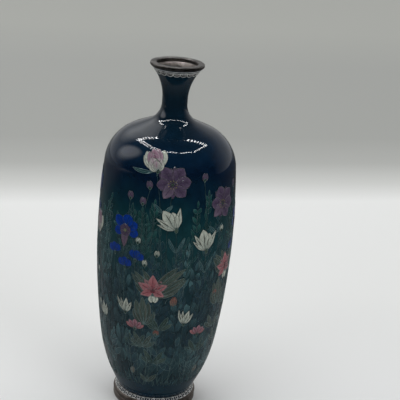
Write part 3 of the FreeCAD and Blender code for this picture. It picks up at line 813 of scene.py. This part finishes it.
WHITE_BUDS = [
    (-22.0, 82.4, 8), (-5.5, 77.9, 4), (-14.6, 73.1, -8), (-65.5, 47.4, -30), (53, 87, -6), (98, 98, 8),
    (148, 92, -10), (-172, 92, 4), (-70, 62, 0),
]
BLUE_BUDS = [
    (-43.6, 77.6, -12), (-23.2, 76.9, 14), (-32.9, 72.6, -2), (75, 78, -10), (94, 79, 12), (-80, 91, 8),
    (160, 79, 6), (176, 78, -8),
]
ORANGE_BUDS = [(-2.6, 41.6, 14), (52, 58, 20), (134, 50, -16), (-122, 56, 10)]

for azimuth, height, turn in CORAL_LILIES:
    coral_lily((azimuth, height, turn))
    for aside, below, listed, edge in CORAL_LILY_LEAVES:
        rosette(azimuth + aside, height - below, listed, OLIVE, OLIVE_PALE, 0.066, edge)
    rosette(azimuth - 19, 20.0, BROWN_LEAF, RUST, RUST, 0.07)
    rosette(azimuth - 2, 16.5, LOW_FAN, OLIVE, OLIVE_PALE, 0.076, edge=RUST)
    stem_to((azimuth, height - 4), (azimuth - 1, 19.5), -14, wire=0.3)
for azimuth, height, turn in CLEMATISES:
    clematis((azimuth, height, turn))
    stem_to((azimuth, height - 5), (azimuth + 3, 62), 18)
    rosette(azimuth - 6, height - 12, CLEMATIS_LEAVES, TEAL, TEAL_PALE, 0.05)
for azimuth, height, turn in BELLFLOWERS:
    bellflower((azimuth, height, turn))
    stem_to((azimuth, height - 5.5), (azimuth + 4, 34), 16)
for azimuth, height, turn in WHITE_LILIES:
    white_lily((azimuth, height, turn))
    stem_to((azimuth, height - 1), (azimuth + 2, 52), -10)
    rosette(azimuth + 1, height - 10, LILY_PAIR, TEAL, TEAL_PALE, 0.05)
for azimuth, height, turn in STAR_LILIES:
    star_lily((azimuth, height, turn))
    stem_to((azimuth, height - 1), (azimuth + 4, 22), 12)
for azimuth, height, turn in ROSE_LILIES:
    rose_lily((azimuth, height, turn))
    stem_to((azimuth, height - 1), (azimuth + 5, height - 36), -18)
    rosette(azimuth - 4, height - 0.5, [(-100, 9.0, 1.6, 24)], TEAL, OLIVE_PALE, 0.05)
for azimuth, height, turn in PINK_FANS:
    pink_fan((azimuth, height, turn))
    stem_to((azimuth, height - 1), (azimuth + 2, 18), -14)
    rosette(azimuth + 1, height - 9, STALK_LEAVES, OLIVE, OLIVE_PALE, 0.05)
for azimuth, height, turn in MAUVE_BUDS:
    bud((azimuth, height, turn), 3.3, 2.6, MAUVE, MAUVE_PALE)
    stem_to((azimuth, height), (azimuth + turn / 3, height - 22), -turn)
    for side, start in ((-1, 27), (1, 23)):
        sprig(sprays, azimuth + 4 * side, height - start, 16, 5 * side, 5, 5.2, 1.3, FERN, FERN_PALE, 0.048,
              bend=-6 * side)
for azimuth, height, turn in WHITE_BUDS:
    bud((azimuth, height, turn), 2.8, 2.2, WHITE_SHADE, WHITE)
    stem_to((azimuth, height), (azimuth + turn / 4, height - 20), -turn)
for azimuth, height, turn in BLUE_BUDS:
    small_blue((azimuth, height, turn))
    stem_to((azimuth, height - 1.5), (azimuth + turn / 4, height - 18), turn)
for azimuth, height, turn in ORANGE_BUDS:
    bud((azimuth, height, turn), 2.6, 2.6, RUST, ORANGE)
    stem_to((azimuth, height), (azimuth - 3, height - 18), 16)

# A coral bud hangs from an arched stalk beside the front lily.
HANGING_BUD = [(200, 4.6, 1.9, -10), (164, 4.2, 1.7, 10), (182, 4.8, 1.7, 0)]
buds.petals((11.5, 60.4, 0), (0, 0), HANGING_BUD, "bud", ORANGE, RUST)
wire_line(leaves.wires, (4.0, 57.0), (0, 0), 6, 6.4, 130, 0.08, wire=0.22)

for plant in Plant.kinds:
    plant.build()
stems.build("stems", SPRAY_WIRES, "wire", "leaf_wires")


# ------------ ground enamel

def polished_ground():
    """The ground enamel as a closed shell, finely divided outside and coarsely behind."""
    rows, inner_step, depth, segments = 330, 10, 0.5, 224
    low, high = ground_low[2] / MM, ground_high[2] / MM
    outer, inner = [], []
    for number in range(rows + 1):
        radius, height, tangent = OUTLINE.at(OUTLINE.along[-1] * number / rows)
        outer.append((radius * MM, height * MM))
        if number % inner_step == 0:
            inner_height = min(max(height + depth * cos(tangent), low), high)
            inner.append(((radius - depth * sin(tangent)) * MM, inner_height * MM))
    profile = outer + inner[::-1]
    count = len(profile)
    points, faces = [], []
    for number, turn in enumerate(turns(segments)):
        points += [(radius * sin(turn), -radius * cos(turn), height) for radius, height in profile]
        here, there = number * count, (number + 1) % segments * count
        for index in range(count):
            following = (index + 1) % count
            faces.append((here + index, there + index, there + following, here + following))
    shell = mesh_object("ground_enamel_polished", points, faces)
    shell.data.polygons.foreach_set("use_smooth", [True] * len(shell.data.polygons))
    shell.data.validate()
    finish_piece(shell, GROUND, "ground", "ground_enamel")


polished_ground()


# ------------ borders

def ring(drawing, count, section):
    """A closed ring; section(turn) gives the (point, normal, colour) of each place round its section."""
    drawing.loft([section(turn) for turn in turns(count)], closed=True)


def neck_border():
    """Two ring wires under the lip with a row of scallops hanging from the lower one."""
    fills, wires = Drawing(flush=True), Drawing(flush=False)
    scallops, drop, half_ring = 20, 1.9, 0.15
    low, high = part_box("neck_ring_wires")
    ring_heights = (low[2] / MM + half_ring, high[2] / MM - half_ring)
    for height in ring_heights:
        length = OUTLINE.length_at(height)
        corners = ((-0.17, 0.0), (0, 0.09), (0.17, 0.0), (0, -SKIRT))
        ring(wires, 240, lambda turn: [(*on_vase(turn, length + off, lift), BARE) for off, lift in corners])
    half = pi * OUTLINE.at(OUTLINE.length_at(ring_heights[0]))[0] / scallops
    for number in range(scallops):
        origin = (360 * number / scallops, ring_heights[0])
        for reach, wire in ((0.96, 0.26), (0.5, 0.16)):
            arc = []
            for step in range(16):
                turn = radians(-90 + 12 * step)
                arc.append((half * reach * sin(turn), -drop * reach * cos(turn)))
            fence(wires, origin, arc, 0.05, wire)
        scallop = []
        for off, lift in ((0.0, 0.02), (0.6, 0.02), (0.93, 0.02), (0.93, -SKIRT)):
            row = []
            for step in range(11):
                turn = radians(-90 + 18 * step)
                x, y = half * (off + 0.02) * sin(turn), -0.1 - 1.7 * off * cos(turn)
                row.append((*spot(origin, x, y, lift), LAPPET))
            scallop.append(row)
        fills.loft(scallop)
    fills.build("neck_lappet_fills", PICTURE, "neck_lappet", "neck_lappet_enamel")
    wires.build("neck_border_wires", NECK_BORDER_WIRE, "wire", "neck_lappet_wires", "neck_ring_wires")


def tube(drawing, path, radius, sides=6):
    """A round wire along points in millimetres, each with the normal of what it lies on."""
    rows = []
    for number, (point, normal) in enumerate(path):
        before = path[max(number - 1, 0)][0]
        after = path[min(number + 1, len(path) - 1)][0]
        side = (after - before).normalized().cross(normal).normalized()
        rows.append([((point + (side * cos(turn) + normal * sin(turn)) * radius) * MM, normal, BARE)
                     for turn in turns(sides)])
    drawing.loft(rows)


def foot_border():
    """Open loops of silver wire, every other one upside down, on the dark sloping seat round the foot."""
    fills, wires = Drawing(flush=False), Drawing(flush=False)
    loops, steps, open_turn = 48, 24, 1.25 * 2 * pi
    low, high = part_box("foot_border_enamel")
    bottom, outer = low[2] / MM, high[0] / MM
    slope = high[2] / MM - bottom
    middle = outer - slope / 2
    up = Vector((0, 0, 1))

    def seat(turn, along, lift):
        """A place on the seat: along goes from 0 at its lower edge to 1 at its upper edge."""
        out = Vector((sin(turn), -cos(turn), 0))
        normal = (out + up).normalized()
        return out * (outer - slope * along) + up * (bottom + slope * along) + normal * lift, normal

    def edge_wire(turn, along):
        centre, normal = seat(turn, along, 0.02)
        out = Vector((sin(turn), -cos(turn), 0))
        return [((centre + (out * cos(side) + up * sin(side)) * 0.09) * MM, normal, BARE)
                for side in turns(6)]

    def enamel(turn):
        rows = ((0, -0.3), (0, 0.02), (0.5, 0.05), (1, 0.02), (1, -0.3))
        places = [seat(turn, along, lift) for along, lift in rows]
        return [(point * MM, normal, BORDER) for point, normal in places]

    for number in range(loops):
        flip = 1 if number % 2 else -1
        path = []
        for step in range(steps + 1):
            share = step / steps
            angle = flip * (radians(-90) + open_turn * share)
            spiral = 0.82 - 0.36 * share
            turn = number * 2 * pi / loops + spiral * cos(angle) / middle
            path.append(seat(turn, 0.5 + spiral * sin(angle) / (slope * sqrt(2)), 0.07))
        tube(wires, path, 0.15)
    for along in (-0.04, 1.02):
        ring(wires, 300, lambda turn: edge_wire(turn, along))
    ring(fills, 240, enamel)
    fills.build("foot_border_fill", PICTURE, "border", "foot_border_enamel")
    wires.build("foot_border_wires", FOOT_BORDER_WIRE, "wire", "foot_scroll_wires", "foot_ring_wires")


neck_border()
foot_border()


# ------------ metal and hidden coats

RIM_SILVER = aged_metal(
    "rim_silver", (0.26, 0.25, 0.24), (0.11, 0.105, 0.1), (0.04, 0.036, 0.034), (0.3, 0.5), 0.52)
FOOT_SILVER = aged_metal(
    "foot_silver", (0.3, 0.27, 0.245), (0.15, 0.125, 0.105), (0.055, 0.042, 0.034), (0.32, 0.55), 0.5)
OLD_COPPER = aged_metal(
    "old_copper", (0.24, 0.215, 0.2), (0.12, 0.108, 0.1), (0.045, 0.04, 0.037), (0.22, 0.42), 0.55)
CAD_MATERIALS = {
    "lip_rim": RIM_SILVER,
    "foot_rim": FOOT_SILVER,
    "copper_body": OLD_COPPER,
    "copper_shoulder": OLD_COPPER,
    "copper_base_plate": OLD_COPPER,
    "base_coat_enamel": plain_enamel("base_coat", (0.01, 0.03, 0.06), (0.02, 0.05, 0.09)),
    "counter_enamel": plain_enamel("counter_coat", (0.02, 0.05, 0.1), (0.05, 0.09, 0.15)),
    "base_enamel": plain_enamel("underside_coat", (0.006, 0.018, 0.045), (0.014, 0.035, 0.075)),
}
for node, finish in CAD_MATERIALS.items():
    slots = frame["nodes"][node].data.materials
    slots.clear()
    slots.append(finish)


# ------------ studio

def camera():
    """The photograph's view: above the lip, looking down a little, from about 45 cm."""
    made = bpy.data.objects.new("camera", bpy.data.cameras.new("camera"))
    bpy.context.scene.collection.objects.link(made)
    made.data.sensor_width = 36
    made.data.lens = 99
    made.data.clip_start = 0.01
    pitch, yaw, roll = 0.3351, 0.0311, 0.0832
    ahead = Vector((sin(yaw) * cos(pitch), cos(yaw) * cos(pitch), -sin(pitch)))
    right = Vector((cos(yaw), -sin(yaw), 0))
    up = right.cross(ahead)
    right, up = right * cos(roll) + up * sin(roll), up * cos(roll) - right * sin(roll)
    turn = Matrix((right, up, -ahead)).transposed().to_4x4()
    made.matrix_world = Matrix.Translation((0, -0.443, 0.248)) @ turn
    bpy.context.scene.camera = made


def floor():
    """A pale disc whose colour carries painted light and shade: darker in front of the vase, palest in a
    band behind it, and painted shade of the backdrop on its far part.
    """
    radius = 3.0
    rim = [(radius * cos(turn), radius * sin(turn), 0) for turn in turns(128)]
    made = mesh_object("floor", rim, [tuple(range(len(rim)))])
    look = new_look("paper_floor")
    depth = look.vector("DOT_PRODUCT", look.place(), (-0.235, 1, 0))
    # The colour ramp paints light and shade into the floor: darker in front of the vase, a paler band
    # behind it, then painted shade from about 0.3 m back.
    look.put("Base Color", look.ramp(
        look.spread(depth, -0.1, 0.9),
        (0.08, (0.72, 0.73, 0.73)),
        (0.2, (0.83, 0.84, 0.83)),
        (0.3, (0.87, 0.88, 0.87)),
        (0.36, (0.9, 0.91, 0.9)),
        (0.4, (0.68, 0.69, 0.67)),
        (0.45, (0.49, 0.5, 0.48)),
        (0.52, (0.43, 0.44, 0.42)),
        (0.8, (0.44, 0.45, 0.43)),
        (1.0, (0.48, 0.49, 0.46)),
    ))
    look.put("Roughness", 0.75)
    look.bump(look.noise(900, 3.0), 0.04, 0.0003)
    made.data.materials.append(look.owner)


def world():
    """Grey walls round a pale box, dark on the near side, with a bright panel high at the back left."""
    made = bpy.data.worlds.new("box")
    bpy.context.scene.world = made
    look = Look(made, "Background")
    out = look.place("Generated")
    walls = look.ramp(look.axis(out, "Z"), (0.0, 0.5), (0.3, 0.4), (0.45, 0.36), (0.65, 0.12), (0.8, 0.05))
    front = look.spread(look.axis(out, "Y"), -0.1, 0.55, start=0.04)
    toward = look.vector("DOT_PRODUCT", out, (-0.37, 0.66, 0.655))
    panel = look.ramp(toward, (0.9, 0.0), (0.95, 0.42), (0.985, 1.05))
    look.put("Color", look.mix("ADD", 1.0, look.mix("MULTIPLY", 1.0, walls, front), panel))
    look.put("Strength", 1.0)


def lamp(name, kind, power):
    """A light that shows no reflection of itself."""
    light = bpy.data.lights.new(name, kind)
    light.energy = power
    made = bpy.data.objects.new(name, light)
    bpy.context.scene.collection.objects.link(made)
    made.visible_glossy = False
    return made


def softbox(name, place, power):
    """A square lamp aimed at the vase's middle."""
    made = lamp(name, "AREA", power)
    made.data.shape = "RECTANGLE"
    made.data.size = made.data.size_y = 0.35
    made.location = place
    made.rotation_euler = (Vector((0, 0, 0.08)) - made.location).to_track_quat("-Z", "Y").to_euler()


def sky_light():
    """Even light from the whole lid of the box."""
    made = lamp("lid", "SUN", 2.1)
    made.data.angle = radians(70)
    made.rotation_euler = (radians(-8), radians(-6), 0)


def reflected(name, points, faces):
    """A thing that only reflections see, and its look, which is black until it is given a glow."""
    made = mesh_object(name, points, faces)
    look = new_look(name)
    look.put("Base Color", (0, 0, 0))
    made.data.materials.append(look.owner)
    made.visible_camera = False
    made.visible_diffuse = False
    made.visible_shadow = False
    return look


def light_ring():
    """The lamps in the box's lid: a six-sided ring of small bright dots, in one row or two."""
    height, gap, row_gap, size = 0.45, 0.025, 0.028, 0.0042
    corners = [
        (-0.264, 0.16), (-0.172, -0.07), (-0.08, -0.142), (0.09, -0.138), (0.2, -0.06), (0.264, 0.16),
    ]
    rows_of = (2, 2, 1, 1, 1, 2)
    square = ((-1, -1, 0), (-1, 1, 0), (1, 1, 0), (1, -1, 0))
    points, faces = [], []
    for number, rows in enumerate(rows_of):
        start = Vector((*corners[number], height))
        end = Vector((*corners[(number + 1) % len(corners)], height))
        along = (end - start).normalized()
        inwards = Vector((-along.y, along.x, 0))
        for row in range(rows):
            for step in range(int((end - start).length / gap)):
                middle = start + along * gap * step + inwards * row_gap * row
                faces.append(tuple(range(len(points), len(points) + 4)))
                points += [middle + Vector(corner) * size for corner in square]
    look = reflected("lamp_dots", points, faces)
    look.put("Emission Color", (1, 1, 1))
    look.put("Emission Strength", 75)


def dark_floor():
    """Hides the pale floor from the polish: over half of it close by, most of it far off."""
    reach, height = 3, 0.001
    points = [(x * reach, y * reach, height) for x, y in ((-1, -1), (1, -1), (1, 1), (-1, 1))]
    look = reflected("dark_floor", points, [(0, 1, 2, 3)])
    place = look.place()
    cover = look.ramp(look.vector("LENGTH", place), (0.06, 0.62), (0.2, 0.85), (0.35, 0.97))
    share = look.ramp(look.vector("DOT_PRODUCT", place, (-0.6, 0.8, 0)), (0.3, 0.0), (0.7, 1.0))
    look.put("Alpha", look.mix("MIX", share, cover, (0.42, 0.42, 0.42)))


def pale_window():
    """A soft-edged oval glow on the box's left wall, leaning back."""
    wall, centre_y, centre_z = -0.42, 0.01, 0.385
    half_length, half_width = 0.3, 0.18
    lean, rise = 0.63, 0.77
    points = [(wall, y, z) for y, z in ((-0.25, 0.15), (0.25, 0.15), (0.25, 0.6), (-0.25, 0.6))]
    look = reflected("pale_window", points, [(0, 1, 2, 3)])
    shift = look.vector("SUBTRACT", look.place(), (wall, centre_y, centre_z))
    shares = look.add("CombineXYZ")
    for number, axis in enumerate((
            (0, -lean / half_length, rise / half_length),
            (0, rise / half_width, lean / half_width))):
        look.join(look.vector("DOT_PRODUCT", shift, axis), shares.inputs[number])
    away = look.vector("LENGTH", shares.outputs["Vector"])
    glow = look.ramp(away, (0.0, (0.7, 0.68, 0.72)), (0.5, 0.62), (0.72, 0.42), (1.0, 0.0))
    look.put("Emission Color", glow)
    look.put("Emission Strength", 2.8)
    look.put("Alpha", look.ramp(away, (0.5, 1.0), (1.0, 0.0)))


camera()
floor()
world()
sky_light()
softbox("left_front", (-0.42, -0.4, 0.42), 0.7)
softbox("right_front", (0.42, -0.42, 0.38), 1.2)
light_ring()
dark_floor()
pale_window()
bpy.context.scene.view_settings.view_transform = "Standard"
